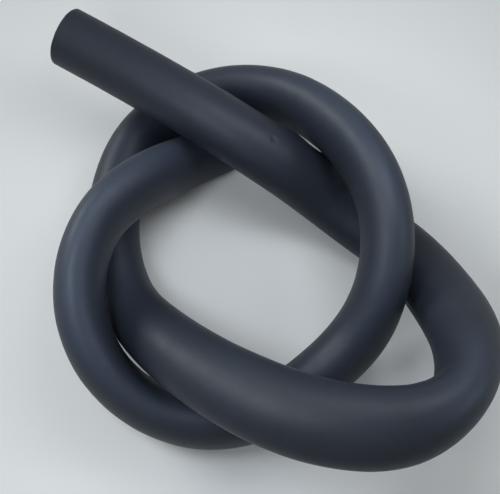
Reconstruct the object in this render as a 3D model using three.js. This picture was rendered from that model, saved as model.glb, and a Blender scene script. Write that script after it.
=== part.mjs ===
import * as THREE from 'three';

// A length of soft closed-cell foam tube, tied in one loose overhand knot and lying on a level
// floor. Millimetres, +Z up. The free end points along -X, the other end is tucked in the knot.

// The tube as it is sold.
const boreDiameter = 15;
const wallThickness = 6;
const outerDiameter = boreDiameter + 2 * wallThickness;

// How finely the tube is divided into flat faces.
const skinSides = 22;
const boreSides = 14;
const stepsAlong = 84;

// The knot, from the free end to the tucked end, in tube diameters, so that a thicker tube ties
// a wider knot. Each point guides the middle of the tube (x, y, z). The fourth number is how
// wide a bend or a crossing leaves the tube there, measured level: under 1 it is squeezed
// narrow and stands taller, over 1 it is pressed flat.
const route = [
  // The free end lies over the top of the ring and over the tucked end.
  [-4.21, 1.42, 2.02, 0.98],
  [-3.26, 1.48, 1.88, 0.99],
  [-2.27, 1.48, 1.81, 0.98],
  [-1.27, 1.47, 1.74, 0.98],
  [-0.29, 1.50, 1.48, 1.02],
  // It dives under the right side of the ring and touches the floor.
  [0.51, 1.73, 0.73, 1.09],
  [1.49, 1.65, 0.49, 1.09],
  [2.53, 1.52, 0.50, 1.06],
  // The right bend climbs and turns back, kinked on its inner side.
  [3.26, 0.84, 1.22, 1.15],
  [3.78, 0.20, 1.87, 1.03],
  [3.90, -0.70, 2.34, 0.67],
  [3.38, -1.51, 2.56, 1.07],
  // The front strand arches over the ring, then runs down to the floor at the left.
  [2.46, -1.94, 2.40, 1.11],
  [1.49, -2.09, 2.10, 1.13],
  [0.54, -2.07, 1.69, 1.06],
  [-0.34, -1.93, 1.13, 1.03],
  [-1.20, -1.66, 0.55, 0.90],
  [-2.00, -0.97, 0.54, 0.90],
  // On the floor it passes under the tucked end and under the free end.
  [-2.52, -0.08, 0.54, 0.88],
  [-2.80, 0.93, 0.55, 0.90],
  [-2.50, 1.95, 0.59, 0.88],
  [-1.75, 2.66, 0.78, 0.87],
  // The ring climbs over the start of the right bend.
  [-0.75, 2.88, 1.07, 0.85],
  [0.22, 2.58, 1.50, 0.83],
  [1.10, 2.09, 1.82, 0.80],
  [1.83, 1.41, 1.89, 0.79],
  [2.30, 0.57, 1.55, 0.80],
  // It comes down to the floor under the front strand.
  [2.42, -0.23, 0.89, 0.93],
  [2.09, -1.20, 0.60, 0.87],
  [1.64, -2.13, 0.56, 0.85],
  [0.82, -2.76, 0.57, 0.84],
  [-0.26, -2.94, 0.68, 0.78],
  // The outer left loop climbs over the floor strand.
  [-1.08, -2.64, 1.32, 0.75],
  [-1.71, -1.92, 1.70, 0.73],
  [-1.98, -0.89, 1.85, 0.69],
  [-1.82, 0.07, 1.49, 0.82],
  // The tucked end slides under the free end and stops there.
  [-1.75, 0.88, 0.69, 0.76],
  [-1.31, 1.77, 0.52, 0.92],
];

// The smooth line through the knot: a uniform cubic B-spline, straight at both ends.
class LaidRoute extends THREE.Curve {
  constructor(points) {
    super();
    const first = points[0].map((value, k) => 2 * value - points[1][k]);
    const last = points.at(-1).map((value, k) => 2 * value - points.at(-2)[k]);
    this.guides = [first, ...points, last];
    this.arcLengthDivisions = 20 * points.length;
  }

  valuesAt(t) {
    const spans = this.guides.length - 3;
    const span = Math.min(Math.floor(t * spans), spans - 1);
    const s = t * spans - span;
    const weights = [
      (1 - s) ** 3 / 6,
      (3 * s ** 3 - 6 * s ** 2 + 4) / 6,
      (-3 * s ** 3 + 3 * s ** 2 + 3 * s + 1) / 6,
      s ** 3 / 6,
    ];
    return [0, 1, 2, 3].map((k) =>
      weights.reduce((sum, weight, i) => sum + weight * this.guides[span + i][k], 0));
  }

  getPoint(t, target = new THREE.Vector3()) {
    const [x, y, z] = this.valuesAt(t);
    return target.set(x, y, z).multiplyScalar(outerDiameter);
  }

  widthAt(u) {
    return this.valuesAt(this.getUtoTmapping(u))[3];
  }
}

function circlePoints(radius, sides) {
  return Array.from({ length: sides }, (_, i) => {
    const angle = (2 * Math.PI * i) / sides;
    return new THREE.Vector2(radius * Math.cos(angle), radius * Math.sin(angle));
  });
}

// The tube as it comes off the roll: straight, round and bored through, standing on its end.
function straightTube(length) {
  const section = new THREE.Shape(circlePoints(outerDiameter / 2, skinSides));
  section.holes.push(new THREE.Path(circlePoints(boreDiameter / 2, boreSides)));
  return new THREE.ExtrudeGeometry(section, {
    depth: length,
    steps: stepsAlong,
    bevelEnabled: false,
  });
}

// Lays the straight tube along the route. A squeezed section keeps its girth and its wall.
function layAlong(geometry, line, length) {
  const up = new THREE.Vector3(0, 0, 1);
  const betweenSkinAndBore = (outerDiameter + boreDiameter) / 4;
  const place = geometry.getAttribute('position');
  const spot = new THREE.Vector3();
  for (let i = 0; i < place.count; i += 1) {
    const [x, y, z] = [place.getX(i), place.getY(i), place.getZ(i)];
    const u = THREE.MathUtils.clamp(z / length, 0, 1);
    const width = line.widthAt(u);
    const height = Math.sqrt(2 - width ** 2);
    const isSkin = Math.hypot(x, y) > betweenSkinAndBore;
    const drawnRadius = isSkin ? outerDiameter / 2 : boreDiameter / 2;
    const inset = isSkin ? 0 : wallThickness;
    const level = (x / drawnRadius) * ((outerDiameter / 2) * width - inset);
    const rise = (y / drawnRadius) * ((outerDiameter / 2) * height - inset);
    const along = line.getTangentAt(u);
    const side = new THREE.Vector3().crossVectors(up, along).normalize();
    const top = new THREE.Vector3().crossVectors(along, side);
    spot.copy(line.getPointAt(u)).addScaledVector(side, level).addScaledVector(top, rise);
    place.setXYZ(i, spot.x, spot.y, spot.z);
  }
  geometry.computeVertexNormals();
  return geometry;
}

// Sets the origin on the floor, under the middle of the knot.
function standOnOrigin(geometry) {
  geometry.computeBoundingBox();
  const { min, max } = geometry.boundingBox;
  return geometry.translate(-(min.x + max.x) / 2, -(min.y + max.y) / 2, -min.z);
}

const line = new LaidRoute(route);
const tubeLength = line.getLength();

const foam = new THREE.MeshStandardMaterial({ color: 0x2d323c, roughness: 0.55, metalness: 0 });
const laidTube = layAlong(straightTube(tubeLength), line, tubeLength);
const tube = new THREE.Mesh(standOnOrigin(laidTube), foam);
tube.name = 'foam_tube';

const part = new THREE.Group();
part.add(tube);

export default part;
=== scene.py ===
# A length of soft foam tube in a loose overhand knot, lying on a pale floor.
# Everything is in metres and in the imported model's frame, with +Z up.

import math
from typing import NamedTuple

import bmesh
import bpy
from mathutils import Matrix, Vector


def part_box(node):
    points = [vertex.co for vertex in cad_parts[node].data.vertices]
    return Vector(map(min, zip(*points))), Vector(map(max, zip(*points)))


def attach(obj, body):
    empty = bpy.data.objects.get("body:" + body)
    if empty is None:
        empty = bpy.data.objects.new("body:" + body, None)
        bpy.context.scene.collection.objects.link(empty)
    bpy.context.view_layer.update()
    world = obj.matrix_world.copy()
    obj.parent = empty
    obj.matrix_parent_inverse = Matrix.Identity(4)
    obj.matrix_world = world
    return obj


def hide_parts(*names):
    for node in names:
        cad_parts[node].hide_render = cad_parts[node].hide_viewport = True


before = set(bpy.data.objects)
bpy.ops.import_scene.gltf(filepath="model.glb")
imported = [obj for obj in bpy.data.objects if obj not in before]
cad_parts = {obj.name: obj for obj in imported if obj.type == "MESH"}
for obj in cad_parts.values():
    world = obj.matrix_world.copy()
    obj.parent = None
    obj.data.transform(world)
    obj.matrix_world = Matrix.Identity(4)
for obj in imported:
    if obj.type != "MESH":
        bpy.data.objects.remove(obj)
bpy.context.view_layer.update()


# Camera
# It looks down on the knot from the front, turned so that the free end points to the upper left
# of the picture.
CAMERA_TILT = math.radians(20)
CAMERA_TURN = math.radians(30.87)
camera_data = bpy.data.cameras.new("camera")
camera_data.sensor_width = 36
camera_data.lens = 47.5
camera = bpy.data.objects.new("camera", camera_data)
camera.location = (0.0555, -0.0823, 0.3015)
camera.rotation_euler = (CAMERA_TILT, 0, CAMERA_TURN)
bpy.context.scene.collection.objects.link(camera)
bpy.context.scene.camera = camera


# Foam tube
# Pipe lagging of closed-cell foam rubber, about a metre long. It is extruded as one wall with a
# smooth closed skin inside and out, and cut square with a knife at both ends, which opens the
# cells. Laid in the knot, it is squeezed oval by its bends and crossings.
BORE = 0.015
WALL = 0.006
OUTSIDE = BORE + 2 * WALL
RIM_ROUNDING = 0.0005
LENGTH = 1.02

# The middle of the tube, in tube diameters, from the free end to the tucked end: x, y, z and how
# wide the tube is there, measured level.
ROUTE = [
    # The free end lies over the top of the ring and over the tucked end.
    (-4.21, 1.42, 2.02, 0.98),
    (-3.26, 1.48, 1.88, 0.99),
    (-2.27, 1.48, 1.81, 0.98),
    (-1.27, 1.47, 1.74, 0.98),
    (-0.29, 1.50, 1.48, 1.02),
    # It dives under the right side of the ring and touches the floor.
    (0.51, 1.73, 0.73, 1.09),
    (1.49, 1.65, 0.49, 1.09),
    (2.53, 1.52, 0.50, 1.06),
    # The right bend climbs and turns back, kinked on its inner side.
    (3.26, 0.84, 1.22, 1.15),
    (3.78, 0.20, 1.87, 1.03),
    (3.90, -0.70, 2.34, 0.67),
    (3.38, -1.51, 2.56, 1.07),
    # The front strand arches over the ring, then runs down to the floor at the left.
    (2.46, -1.94, 2.40, 1.11),
    (1.49, -2.09, 2.10, 1.13),
    (0.54, -2.07, 1.69, 1.06),
    (-0.34, -1.93, 1.13, 1.03),
    (-1.20, -1.66, 0.55, 0.90),
    (-2.00, -0.97, 0.54, 0.90),
    # On the floor it passes under the tucked end and under the free end.
    (-2.52, -0.08, 0.54, 0.88),
    (-2.80, 0.93, 0.55, 0.90),
    (-2.50, 1.95, 0.59, 0.88),
    (-1.75, 2.66, 0.78, 0.87),
    # The ring climbs over the start of the right bend.
    (-0.75, 2.88, 1.07, 0.85),
    (0.22, 2.58, 1.50, 0.83),
    (1.10, 2.09, 1.82, 0.80),
    (1.83, 1.41, 1.89, 0.79),
    (2.30, 0.57, 1.55, 0.80),
    # It comes down to the floor under the front strand.
    (2.42, -0.23, 0.89, 0.93),
    (2.09, -1.20, 0.60, 0.87),
    (1.64, -2.13, 0.56, 0.85),
    (0.82, -2.76, 0.57, 0.84),
    (-0.26, -2.94, 0.68, 0.78),
    # The outer left loop climbs over the floor strand.
    (-1.08, -2.64, 1.32, 0.75),
    (-1.71, -1.92, 1.70, 0.73),
    (-1.98, -0.89, 1.85, 0.69),
    (-1.82, 0.07, 1.49, 0.82),
    # The tucked end slides under the free end and stops there.
    (-1.75, 0.88, 0.69, 0.76),
    (-1.31, 1.77, 0.52, 0.92),
]


def smooth_route(points):
    """A curve through the guide points, as a uniform cubic B-spline that is straight at its ends."""

    def reflected(end, inner):
        return tuple(2 * a - b for a, b in zip(end, inner))

    guides = [reflected(points[0], points[1]), *points, reflected(points[-1], points[-2])]
    data = bpy.data.curves.new("tube_route", "CURVE")
    data.dimensions = "3D"
    data.resolution_u = 24
    spline = data.splines.new("NURBS")
    spline.points.add(len(guides) - 1)
    for point, (x, y, z, width) in zip(spline.points, guides):
        point.co = (x * OUTSIDE, y * OUTSIDE, z * OUTSIDE, 1)
        point.radius = width
    spline.order_u = 4
    spline.use_endpoint_u = False
    route = bpy.data.objects.new("tube_route", data)
    bpy.context.scene.collection.objects.link(route)
    return route


class NodeTree:
    """Adds nodes to a tree, with each input given by its name as a value or another node's output."""

    def __init__(self, tree):
        self.tree = tree

    def add(self, kind, inputs=(), **settings):
        node = self.tree.nodes.new(kind)
        for name, value in settings.items():
            setattr(node, name, value)
        for name, value in dict(inputs).items():
            self.give(self.socket(node, name), value)
        return node

    def give(self, socket, value):
        if isinstance(value, bpy.types.NodeSocket):
            self.tree.links.new(value, socket)
        else:
            socket.default_value = value

    def socket(self, node, name):
        if isinstance(name, int):
            return node.inputs[name]
        return next(s for s in node.inputs if s.name == name and s.enabled)

    def number(self, operation, *values):
        return self.add("ShaderNodeMath", enumerate(values), operation=operation).outputs[0]

    def vector(self, operation, *values, result=0):
        node = self.add("ShaderNodeVectorMath", enumerate(values), operation=operation)
        return node.outputs[result]

    def scaled(self, vector, number):
        node = self.add("ShaderNodeVectorMath", {0: vector, "Scale": number}, operation="SCALE")
        return node.outputs[0]

    def parts(self, vector):
        """The x, y and z of a vector."""
        return self.add("ShaderNodeSeparateXYZ", {0: vector}).outputs

    def flat(self, vector):
        """The vector without its z. For a place on the straight tube, it leads out from the axis."""
        x, y, _ = self.parts(vector)
        return self.add("ShaderNodeCombineXYZ", {"X": x, "Y": y}).outputs[0]

    def noise(self, place, per_metre, detail=2.0):
        """Soft random values from 0 to 1, the same on each run."""
        inputs = {"Vector": place, "Scale": per_metre, "Detail": detail}
        return self.add("ShaderNodeTexNoise", inputs).outputs[0]

    def cells(self, place, per_metre):
        """How far a place is from the middle of its cell, in cells."""
        return self.add("ShaderNodeTexVoronoi", {"Vector": place, "Scale": per_metre}).outputs[0]

    def ramp(self, value, start, end):
        """0 up to the start value, 1 from the end value on, and straight in between."""
        inputs = {"Value": value, "From Min": start, "From Max": end}
        return self.add("ShaderNodeMapRange", inputs).outputs[0]

    def mixed(self, share, first, second):
        """The first colour where the share is 0, the second where it is 1."""
        inputs = {"Factor": share, "A": first, "B": second}
        return self.add("ShaderNodeMix", inputs, data_type="RGBA").outputs[2]

    def bump(self, height):
        """The normal of a surface with this height, in metres."""
        inputs = {"Strength": 1.0, "Distance": 1.0, "Height": height}
        return self.add("ShaderNodeBump", inputs).outputs[0]


SOCKET_KINDS = {
    float: "NodeSocketFloat",
    int: "NodeSocketInt",
    bpy.types.Object: "NodeSocketObject",
    bpy.types.Material: "NodeSocketMaterial",
}


def made_by_nodes(name, build, settings, mesh):
    """Runs a mesh through a tree that has a named input for each setting, and returns the result."""
    tree = bpy.data.node_groups.new(name, "GeometryNodeTree")
    tree.interface.new_socket("Geometry", in_out="OUTPUT", socket_type="NodeSocketGeometry")
    tree.interface.new_socket("Geometry", in_out="INPUT", socket_type="NodeSocketGeometry")
    inputs = {}
    for setting, value in settings.items():
        kind = SOCKET_KINDS[type(value)]
        socket = tree.interface.new_socket(setting, in_out="INPUT", socket_type=kind)
        inputs[setting] = socket.identifier
    nodes = NodeTree(tree)
    result = build(nodes, nodes.add("NodeGroupInput").outputs)
    nodes.add("NodeGroupOutput", {0: result})
    maker = bpy.data.objects.new(name, mesh)
    bpy.context.scene.collection.objects.link(maker)
    modifier = maker.modifiers.new(name, "NODES")
    modifier.node_group = tree
    for setting, value in settings.items():
        modifier[inputs[setting]] = value
    depsgraph = bpy.context.evaluated_depsgraph_get()
    made = bpy.data.meshes.new_from_object(maker.evaluated_get(depsgraph), depsgraph=depsgraph)
    bpy.data.objects.remove(maker)
    return made


def wall_section(nodes, given):
    """The wall cut lengthwise: a long thin loop with rounded corners, divided along its sides."""
    rectangle = nodes.add(
        "GeometryNodeCurvePrimitiveQuadrilateral",
        {"Width": given["Wall"], "Height": given["Length"]},
        mode="RECTANGLE",
    )
    rounded = nodes.add(
        "GeometryNodeFilletCurve",
        {
            "Curve": rectangle.outputs[0],
            "Count": given["Rim Steps"],
            "Radius": given["Rim Rounding"],
        },
        mode="POLY",
    )
    # The loop runs over one cut, the bore, the other cut and the skin. Each of these sides
    # starts where a corner ends.
    index = nodes.add("GeometryNodeInputIndex").outputs[0]
    cuts = 0.0
    for side, steps in enumerate(["Cut Steps", "Bore Steps", "Cut Steps", "Skin Steps"]):
        last_of_corner = nodes.number("MULTIPLY_ADD", given["Rim Steps"], side + 1.0, float(side))
        starts_here = nodes.number("COMPARE", index, last_of_corner, 0.5)
        cuts = nodes.number("MULTIPLY_ADD", starts_here, given[steps], cuts)
    divided = nodes.add("GeometryNodeSubdivideCurve", {"Curve": rounded.outputs[0], "Cuts": cuts})
    return divided.outputs[0]


def straight_tube(nodes, given):
    """The tube as it comes off the roll, standing on its end round the Z axis."""
    across = nodes.number("SUBTRACT", given["Outside"], given["Wall"])
    middle_of_wall = nodes.number("MULTIPLY", across, 0.5)
    circle = nodes.add(
        "GeometryNodeCurvePrimitiveCircle",
        {"Resolution": given["Sides"], "Radius": middle_of_wall},
        mode="RADIUS",
    )
    tube = nodes.add(
        "GeometryNodeCurveToMesh",
        {"Curve": circle.outputs[0], "Profile Curve": wall_section(nodes, given)},
    )
    real = nodes.add("GeometryNodeRealizeInstances", {"Geometry": tube.outputs[0]})
    skinned = nodes.add(
        "GeometryNodeSetMaterial", {"Geometry": real.outputs[0], "Material": given["Skin"]}
    )
    return skinned.outputs[0]


class Dent(NamedTuple):
    """A dent in the skin of the straight tube, in metres. A bulge has a depth below zero."""

    along: float  # from the free end
    around: float  # round from the tube's side, in degrees
    length: float
    breadth: float
    depth: float
    crease: float  # 1 is creased sharply across, 2 is hollowed softly
    finer: int  # how many times finer the mesh is there

    def off(self, point):
        """How far a point is from the dent, in lengths along and in breadths round the tube."""
        turn = math.atan2(point.y, point.x) - math.radians(self.around)
        turn = (turn + math.pi) % math.tau - math.pi
        return (point.z + LENGTH / 2 - self.along) / self.length, turn * OUTSIDE / 2 / self.breadth

    def depth_at(self, point):
        along, around = self.off(point)
        return self.depth * math.exp(-abs(along) ** self.crease - around * around)


DENTS = [
    # The bend folds the skin inwards where it is tightest.
    Dent(0.2725, 190, length=0.0055, breadth=0.0090, depth=0.0022, crease=1.0, finer=2),
    # The free end's strand bulges a little where it dives under the ring.
    Dent(0.1108, 12, length=0.0095, breadth=0.0048, depth=-0.0018, crease=2.0, finer=2),
    Dent(0.1348, 17, length=0.0075, breadth=0.0055, depth=-0.0016, crease=2.0, finer=2),
    # A nick in the skin of the free end's strand, and two faint marks.
    Dent(0.1017, 86, length=0.0007, breadth=0.0012, depth=0.0006, crease=2.0, finer=6),
    Dent(0.3652, 92, length=0.0009, breadth=0.0007, depth=0.0001, crease=2.0, finer=4),
    Dent(0.8330, 84, length=0.0010, breadth=0.0008, depth=0.0001, crease=2.0, finer=4),
]

# How far a dent's patch of finer mesh reaches, in its lengths and breadths.
DENT_REACH = 2.6


def press_dent(shape, dent):
    """Presses one dent into the skin of the straight tube, on a patch with a finer mesh."""

    def is_near(vert):
        is_skin = math.hypot(vert.co.x, vert.co.y) > (OUTSIDE - WALL) / 2
        return is_skin and max(map(abs, dent.off(vert.co))) < DENT_REACH

    patch = {vert for vert in shape.verts if is_near(vert)}
    edges = [edge for edge in shape.edges if patch.issuperset(edge.verts)]
    bmesh.ops.subdivide_edges(shape, edges=edges, cuts=dent.finer - 1, use_grid_fill=True)
    for vert in shape.verts:
        if is_near(vert):
            depth = sum(each.depth_at(vert.co) for each in DENTS)
            outwards = Vector((vert.co.x, vert.co.y)).normalized()
            vert.co.x, vert.co.y = outwards * (OUTSIDE / 2 - depth)


def lay_along(nodes, given):
    """Bends the straight tube along its route. A squeezed section keeps its girth and wall."""
    place = nodes.add("GeometryNodeInputPosition").outputs[0]
    kept = nodes.add(
        "GeometryNodeStoreNamedAttribute",
        {"Geometry": given["Geometry"], "Name": "on_the_roll", "Value": place},
        data_type="FLOAT_VECTOR",
        domain="POINT",
    )
    along = nodes.parts(place)[2]
    across = nodes.flat(place)
    around = nodes.parts(nodes.vector("NORMALIZE", across))
    # The wall swells and thins a little, as it does when soft foam leaves the die.
    swell = nodes.number("SUBTRACT", nodes.noise(place, given["Swells Per Metre"]), 0.5)
    drawn_radius = nodes.vector("LENGTH", across, result="Value")
    radius = nodes.number("MULTIPLY_ADD", swell, given["Swell"], drawn_radius)
    # The knife leaves both cuts slightly uneven.
    half_length = nodes.number("MULTIPLY", given["Length"], 0.5)

    def from_nearer_end(z):
        return nodes.number("SUBTRACT", half_length, nodes.number("ABSOLUTE", z))

    near_cut = nodes.ramp(from_nearer_end(along), given["Cut Reach"], 0.0)
    waver = nodes.number("MULTIPLY", nodes.noise(place, given["Cut Waves Per Metre"]), near_cut)
    inwards = nodes.number("MULTIPLY", waver, given["Cut Waver"])
    inwards = nodes.number("MULTIPLY", inwards, nodes.number("SIGN", along))
    cut_place = nodes.number("SUBTRACT", along, inwards)

    route = nodes.add("GeometryNodeObjectInfo", {"Object": given["Route"]}).outputs["Geometry"]
    route_length = nodes.add("GeometryNodeCurveLength", {"Curve": route}).outputs[0]
    stretch = nodes.number("DIVIDE", route_length, given["Length"])
    from_free_end = nodes.number("ADD", half_length, cut_place)
    sample = nodes.add(
        "GeometryNodeSampleCurve",
        {
            "Curves": route,
            "Value": nodes.add("GeometryNodeInputRadius").outputs[0],
            "Length": nodes.number("MULTIPLY", from_free_end, stretch),
        },
        mode="LENGTH",
        use_all_curves=True,
    )
    width = sample.outputs["Value"]
    width_squared = nodes.number("MULTIPLY", width, width)
    height = nodes.number("SQRT", nodes.number("SUBTRACT", 2.0, width_squared))
    half = nodes.number("MULTIPLY", given["Outside"], 0.5)
    inset = nodes.number("SUBTRACT", half, radius)
    level = nodes.number("SUBTRACT", nodes.number("MULTIPLY", half, width), inset)
    rise = nodes.number("SUBTRACT", nodes.number("MULTIPLY", half, height), inset)
    level = nodes.number("MULTIPLY", level, around[0])
    rise = nodes.number("MULTIPLY", rise, around[1])
    tangent = sample.outputs["Tangent"]
    side = nodes.vector("NORMALIZE", nodes.vector("CROSS_PRODUCT", (0, 0, 1), tangent))
    top = nodes.vector("CROSS_PRODUCT", tangent, side)
    off_middle = nodes.vector("ADD", nodes.scaled(side, level), nodes.scaled(top, rise))
    # Painted highlight: the skin of a squeezed tube is painted paler along its highest and lowest
    # line, where its crest catches the light.
    squeeze = nodes.number("MAXIMUM", nodes.number("SUBTRACT", 1.0, width), 0.0)
    upright = nodes.number("ABSOLUTE", around[1])
    crown = nodes.number("POWER", upright, given["Crown Sharpness"])
    stretched = nodes.add(
        "GeometryNodeStoreNamedAttribute",
        {
            "Geometry": kept.outputs[0],
            "Name": "stretched_skin",
            "Value": nodes.number("MULTIPLY", squeeze, crown),
        },
        data_type="FLOAT",
        domain="POINT",
    )
    laid = nodes.add(
        "GeometryNodeSetPosition",
        {
            "Geometry": stretched.outputs[0],
            "Position": nodes.vector("ADD", sample.outputs["Position"], off_middle),
        },
    )
    real = nodes.add("GeometryNodeRealizeInstances", {"Geometry": laid.outputs[0]})
    # Only the two cuts show open cells.
    roll = nodes.add(
        "GeometryNodeInputNamedAttribute", {"Name": "on_the_roll"}, data_type="FLOAT_VECTOR"
    )
    from_cut = from_nearer_end(nodes.parts(roll.outputs[0])[2])
    is_cut = nodes.add(
        "FunctionNodeCompare", {"A": from_cut, "B": given["Cut Edge"]}, operation="LESS_THAN"
    )
    finished = nodes.add(
        "GeometryNodeSetMaterial",
        {"Geometry": real.outputs[0], "Selection": is_cut.outputs[0], "Material": given["Cut"]},
    )
    return finished.outputs[0]


def new_foam(name):
    """A new material with its nodes, its shader and each point's place on the straight tube."""
    material = bpy.data.materials.new(name)
    material.use_nodes = True
    nodes = NodeTree(material.node_tree)
    roll = nodes.add("ShaderNodeAttribute", attribute_name="on_the_roll").outputs["Vector"]
    return material, nodes, material.node_tree.nodes["Principled BSDF"].inputs, roll


# The skin drifts between two tones of blue-grey, in wide clouds and in a fine mottle. Along the
# crest of a squeezed stretch it is painted paler, a painted highlight, and its orange peel makes it a
# little rougher.
SKIN_DARKER = (0.0134, 0.0172, 0.0254, 1)
SKIN_LIGHTER = (0.0171, 0.0221, 0.0324, 1)
DRIFTS_PER_METRE = 28.0
MOTTLES_PER_METRE = 750.0
# How much paler the painted highlight makes the crest of a squeezed stretch.
PALING_BY_STRETCH = 4.5
SMOOTHEST_SKIN = 0.45
ROUGHER_BY_PEEL = 0.10

# Its relief is that peel, faint lines that the die draws out along the tube, and the cells under
# the skin.
PEELS_PER_METRE = 240.0
PEEL_HEIGHT = 0.00008
DIE_LINES_PER_METRE = 1500.0
DIE_LINE_HEIGHT = 0.000006
DRAWN_OUT = (1.0, 1.0, 0.03)
SKIN_CELLS_PER_METRE = 2300.0
SKIN_CELL_HEIGHT = 0.000012


def foam_skin():
    """Matt blue-grey foam rubber with a closed skin, faintly pebbled by the cells under it."""
    material, nodes, shader, roll = new_foam("foam_skin")

    drift = nodes.noise(roll, DRIFTS_PER_METRE, 3.0)
    mottle = nodes.noise(roll, MOTTLES_PER_METRE, 3.0)
    share = nodes.number("MULTIPLY_ADD", drift, 0.6, nodes.number("MULTIPLY", mottle, 0.4))
    colour = nodes.mixed(nodes.ramp(share, 0.3, 0.7), SKIN_DARKER, SKIN_LIGHTER)
    # Painted highlight: the crest of a squeezed stretch is painted paler.
    stretched = nodes.add("ShaderNodeAttribute", attribute_name="stretched_skin").outputs["Fac"]
    paler = nodes.number("MULTIPLY_ADD", stretched, PALING_BY_STRETCH, 1.0)
    nodes.give(shader["Base Color"], nodes.scaled(colour, paler))
    shader["Specular IOR Level"].default_value = 0.28

    peel = nodes.noise(roll, PEELS_PER_METRE)
    roughness = nodes.number("MULTIPLY_ADD", peel, ROUGHER_BY_PEEL, SMOOTHEST_SKIN)
    nodes.give(shader["Roughness"], roughness)

    cells = nodes.cells(roll, SKIN_CELLS_PER_METRE)
    die_lines = nodes.noise(nodes.vector("MULTIPLY", roll, DRAWN_OUT), DIE_LINES_PER_METRE)
    height = nodes.number("MULTIPLY", cells, SKIN_CELL_HEIGHT)
    height = nodes.number("MULTIPLY_ADD", peel, PEEL_HEIGHT, height)
    height = nodes.number("MULTIPLY_ADD", die_lines, DIE_LINE_HEIGHT, height)
    nodes.give(shader["Normal"], nodes.bump(height))
    return material


# A cut shows paler foam with pores of two sizes, between two thin closed skins. The pores are
# sunk in and painted dark, a painted shade in their hollows.
CUT_PALE = (0.030, 0.037, 0.046, 1)
CUT_PORE = (0.009, 0.011, 0.015, 1)
FINE_PORES_PER_METRE = 2400.0
COARSE_PORES_PER_METRE = 1250.0
PORE_DEPTH = 0.00012
SKIN_THICKNESS = 0.0003


def cut_foam():
    """The same foam where the knife opened it: fine pores between the two closed skins."""
    material, nodes, shader, roll = new_foam("cut_foam")

    radius = nodes.vector("LENGTH", nodes.flat(roll), result="Value")
    outer = OUTSIDE / 2
    inner = BORE / 2
    in_from_skin = nodes.ramp(radius, outer - SKIN_THICKNESS, outer - 3 * SKIN_THICKNESS)
    in_from_bore = nodes.ramp(radius, inner + SKIN_THICKNESS, inner + 3 * SKIN_THICKNESS)
    open_foam = nodes.number("MULTIPLY", in_from_skin, in_from_bore)

    fine = nodes.cells(roll, FINE_PORES_PER_METRE)
    coarse = nodes.cells(roll, COARSE_PORES_PER_METRE)
    walls = nodes.number("MULTIPLY_ADD", fine, 0.6, nodes.number("MULTIPLY", coarse, 0.5))
    pores = nodes.number("MULTIPLY", nodes.ramp(walls, 0.55, 0.25), open_foam)
    # Painted shade: the hollow pores are painted darker than the foam around them.
    nodes.give(shader["Base Color"], nodes.mixed(pores, CUT_PALE, CUT_PORE))
    shader["Roughness"].default_value = 0.85
    nodes.give(shader["Normal"], nodes.bump(nodes.number("MULTIPLY", pores, -PORE_DEPTH)))
    return material


straight_mesh = made_by_nodes(
    "straight_foam_tube",
    straight_tube,
    {
        "Length": LENGTH,
        "Outside": OUTSIDE,
        "Wall": WALL,
        "Rim Rounding": RIM_ROUNDING,
        "Rim Steps": 4,
        "Sides": 96,
        "Skin Steps": 600,
        "Bore Steps": 190,
        "Cut Steps": 11,
        "Skin": foam_skin(),
    },
    bpy.data.meshes.new("nothing"),
)
shape = bmesh.new()
shape.from_mesh(straight_mesh)
for dent in DENTS:
    press_dent(shape, dent)
shape.to_mesh(straight_mesh)
shape.free()

route = smooth_route(ROUTE)
tube_mesh = made_by_nodes(
    "laid_foam_tube",
    lay_along,
    {
        "Route": route,
        "Length": LENGTH,
        "Outside": OUTSIDE,
        "Swell": 0.00035,
        "Swells Per Metre": 55.0,
        "Cut Waver": 0.0004,
        "Cut Waves Per Metre": 160.0,
        "Cut Reach": 0.003,
        "Cut Edge": 0.3 * RIM_ROUNDING,
        "Crown Sharpness": 5.0,
        "Cut": cut_foam(),
    },
    straight_mesh,
)
tube_mesh.name = "foam_tube_fine"
tube_mesh.shade_smooth()
depsgraph = bpy.context.evaluated_depsgraph_get()
middle_mesh = bpy.data.meshes.new_from_object(route.evaluated_get(depsgraph), depsgraph=depsgraph)
bpy.data.objects.remove(route)


def move_to_cad(mesh, node):
    """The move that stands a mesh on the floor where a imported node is."""
    low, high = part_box(node)
    points = [v.co for v in mesh.vertices]
    own_low = Vector([min(p[k] for p in points) for k in range(3)])
    own_high = Vector([max(p[k] for p in points) for k in range(3)])
    move = (low + high - own_low - own_high) / 2
    move.z = low.z - own_low.z
    return Matrix.Translation(move)


to_cad = move_to_cad(tube_mesh, "foam_tube")
tube_mesh.transform(to_cad)
middle_mesh.transform(to_cad)
bpy.data.meshes.remove(middle_mesh)

tube = bpy.data.objects.new("knotted_foam_tube", tube_mesh)
bpy.context.scene.collection.objects.link(tube)
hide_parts("foam_tube")
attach(tube, "root")


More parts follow.
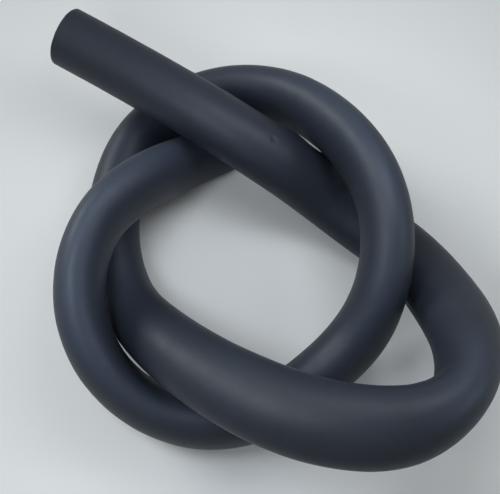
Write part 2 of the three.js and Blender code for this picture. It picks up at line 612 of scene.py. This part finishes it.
# Floor
# A plain pale sheet that the knot lies on. It runs out of the picture on all sides.
FLOOR_REACH = 3.0
floor_corners = [(-1, -1), (1, -1), (1, 1), (-1, 1)]
floor_mesh = bpy.data.meshes.new("floor")
floor_mesh.from_pydata(
    [(x * FLOOR_REACH, y * FLOOR_REACH, 0) for x, y in floor_corners], [], [(0, 1, 2, 3)]
)
floor = bpy.data.objects.new("floor", floor_mesh)
bpy.context.scene.collection.objects.link(floor)
floor_finish = bpy.data.materials.new("floor")
floor_finish.use_nodes = True
floor_shader = floor_finish.node_tree.nodes["Principled BSDF"].inputs
floor_shader["Base Color"].default_value = (0.70, 0.71, 0.70, 1)
floor_shader["Roughness"].default_value = 0.8
floor_mesh.materials.append(floor_finish)


# Light
# A pale room gives light from all sides. Three small lamps hang close over the eye of the knot, a
# large round softbox stands on the side of the free end, and a weaker one on the far right.


def add_lamp(name, place, size, watts, colour):
    """A round lamp that faces the origin and isn't seen itself."""
    data = bpy.data.lights.new(name, "AREA")
    data.shape = "DISK"
    data.size = size
    data.energy = watts
    data.color = colour
    lamp = bpy.data.objects.new(name, data)
    lamp.location = place
    lamp.rotation_euler = Vector(place).to_track_quat("Z", "Y").to_euler()
    lamp.visible_camera = False
    bpy.context.scene.collection.objects.link(lamp)


add_lamp("eye_lamp_1", (-0.026, 0.043, 0.20), 0.07, 0.063, (0.96, 1.0, 1.06))
add_lamp("eye_lamp_2", (-0.043, -0.084, 0.20), 0.07, 0.127, (0.93, 1.0, 1.10))
add_lamp("eye_lamp_3", (0.043, 0.084, 0.20), 0.07, 0.091, (0.96, 1.0, 1.06))
add_lamp("left_softbox", (-2.65, 0.0, 1.41), 1.28, 46.3, (0.95, 1.0, 1.00))
add_lamp("right_softbox", (2.29, 1.32, 1.41), 1.28, 14.4, (0.88, 1.0, 1.15))

world = bpy.data.worlds.new("room")
world.use_nodes = True
room = world.node_tree.nodes["Background"].inputs
room["Color"].default_value = (0.353, 0.360, 0.367, 1)
room["Strength"].default_value = 1.0
bpy.context.scene.world = world
bpy.context.scene.view_settings.view_transform = "Standard"
